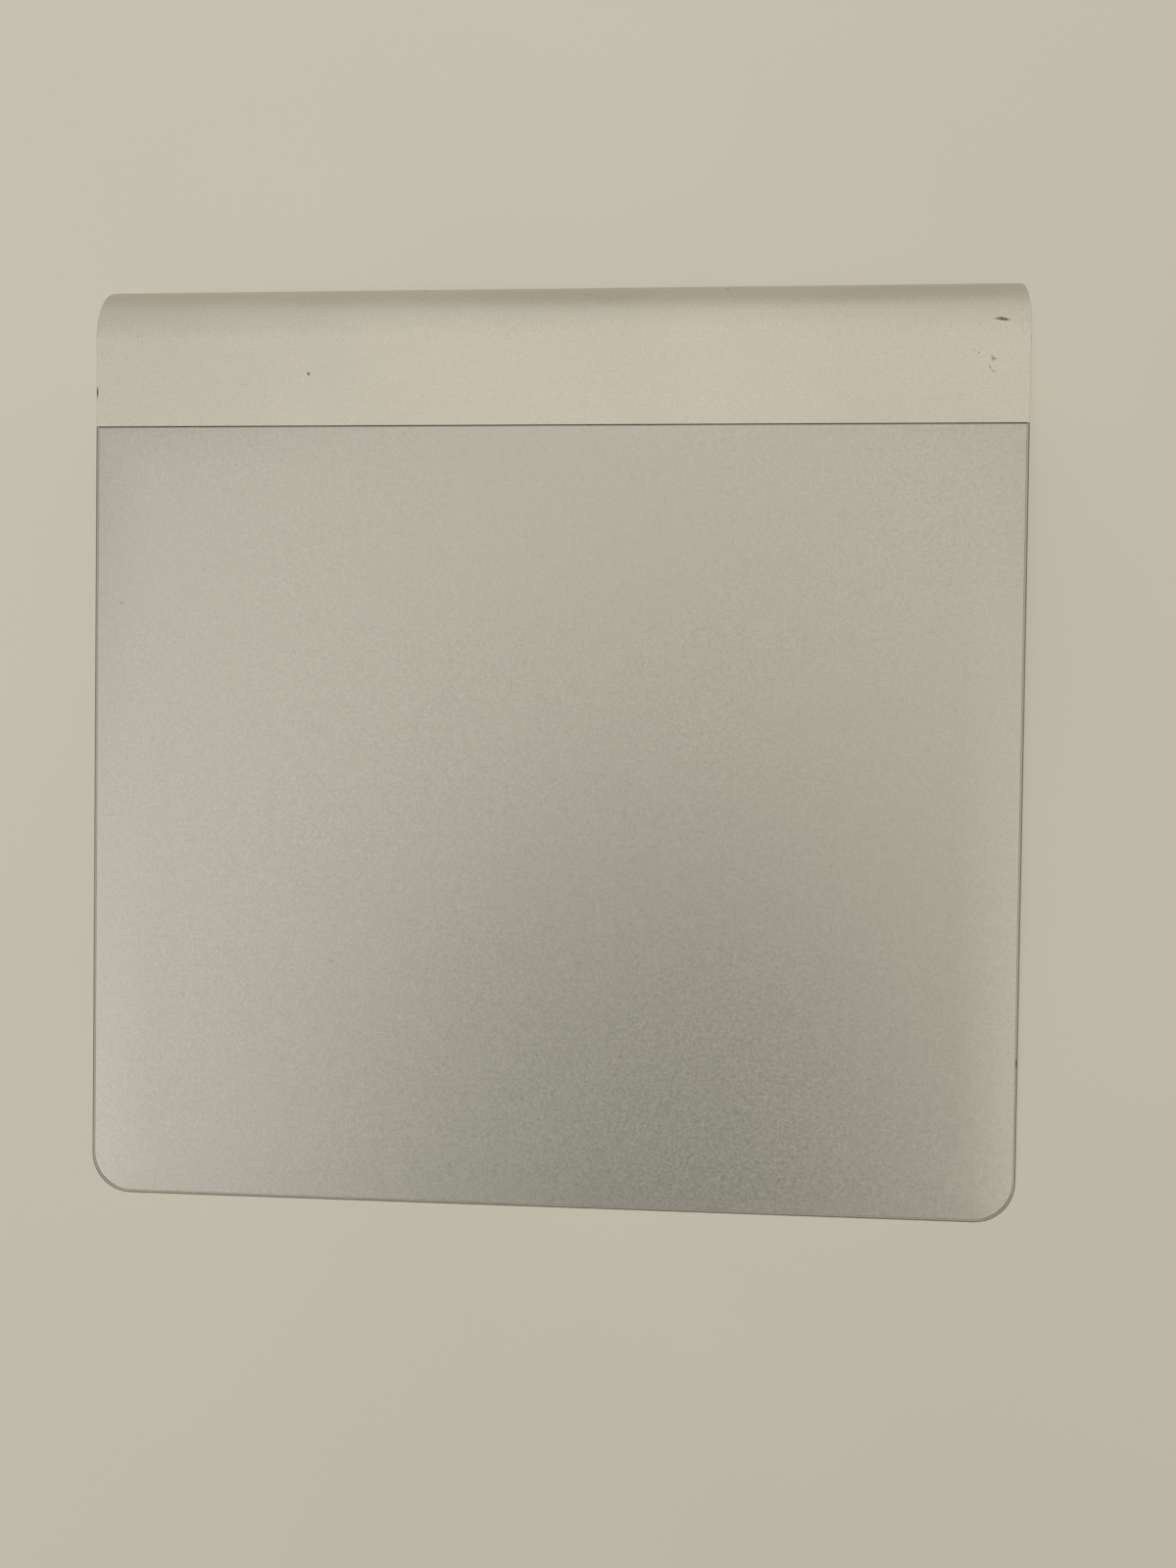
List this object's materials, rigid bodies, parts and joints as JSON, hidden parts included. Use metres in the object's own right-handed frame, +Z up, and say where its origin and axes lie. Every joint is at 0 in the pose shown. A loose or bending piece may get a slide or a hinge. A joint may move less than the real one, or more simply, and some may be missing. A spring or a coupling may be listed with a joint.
{
  "type": "trackpad",
  "caption": "Free-standing wireless trackpad: square satin touch plate on a thin aluminium tray that slopes down from a round battery tube, clicking on its front feet.",
  "frame": {"origin": "middle of the footprint, on the desk under the feet", "axes": "+X to the user's right, +Y away from the user towards the battery tube, +Z up from the desk"},
  "size_m": [0.13, 0.131, 0.0188],
  "materials": {
    "aluminium": "satin",
    "satin_plate": "satin",
    "white_plastic": "satin",
    "grey_rubber": "matte",
    "black_plastic": "matte",
    "tape": "matte",
    "circuit_board": "satin",
    "chip_black": "satin",
    "ribbon": "gloss",
    "connector_plastic": "matte",
    "steel": "satin",
    "contact_metal": "satin",
    "liner_film": "satin",
    "cell_wrap": "gloss",
    "clear_plastic": "gloss"
  },
  "bodies": {
    "chassis": {"housing": "aluminium", "touch_plate": "satin_plate", "plate_tape": "tape", "sensor_board": "circuit_board", "sensor_flex": "ribbon", "bottom_cover": "white_plastic", "cover_tape": "tape", "rear_foot_left": "grey_rubber", "rear_foot_right": "grey_rubber", "battery_liner": "liner_film", "battery_left": "cell_wrap", "battery_right": "cell_wrap", "bulkhead": "black_plastic", "positive_contact": "contact_metal", "power_board": "circuit_board", "power_switch": "steel", "indicator_led": "clear_plastic", "light_pipe": "clear_plastic", "power_ribbon": "ribbon", "end_plug": "aluminium", "logic_board": "circuit_board", "board_chips": "chip_black", "shield_can": "steel", "flex_connector": "connector_plastic", "antenna": "contact_metal", "board_screws": "steel", "hinge_bracket_left": "steel", "hinge_bracket_right": "steel", "hinge_pins": "steel", "mechanism_screws": "steel", "return_springs": "steel", "click_switch": "steel", "click_flex": "ribbon"},
    "click_bar": {"click_bar": "steel", "front_foot_left": "grey_rubber", "front_foot_right": "grey_rubber"},
    "click_plunger": {"click_plunger": "black_plastic"},
    "power_button": {"power_button": "aluminium", "power_plunger": "black_plastic"},
    "cap_contact": {"cap_contact": "contact_metal"},
    "battery_cap": {"battery_cap": "aluminium", "cap_insert": "black_plastic"}
  },
  "joints": [
    {"name": "click", "type": "hinge", "parent": "chassis", "child": "click_bar", "pos_m": [0, -0.03428, 0.00611], "axis": [-1, 0, 0], "range_deg": [0, 1.01], "stiffness_Nm_per_rad": 0.6, "springref_deg": -3.44, "deforming": ["return_springs"]},
    {"name": "switch_press", "type": "slide", "parent": "chassis", "child": "click_plunger", "axis": [0, -0.0983, 0.9952], "range_m": [0, 0.000213]},
    {"name": "power_press", "type": "slide", "parent": "chassis", "child": "power_button", "axis": [-1, 0, 0], "range_m": [0, 0.0005], "stiffness_N_per_m": 2000, "springref_m": -0.0005},
    {"name": "cap_out", "type": "slide", "parent": "chassis", "child": "cap_contact", "axis": [-1, 0, 0], "range_m": [0, 0.004]},
    {"name": "cap_turn", "type": "hinge", "parent": "cap_contact", "child": "battery_cap", "pos_m": [-0.0615, 0.0564, 0.0097], "axis": [-1, 0, 0], "range_deg": [0, 1440]}
  ],
  "couplings": [
    {"joint": "switch_press", "follows": "click", "m_per_rad": 0.012},
    {"joint": "cap_out", "follows": "cap_turn", "m_per_rad": 0.00015915}
  ]
}
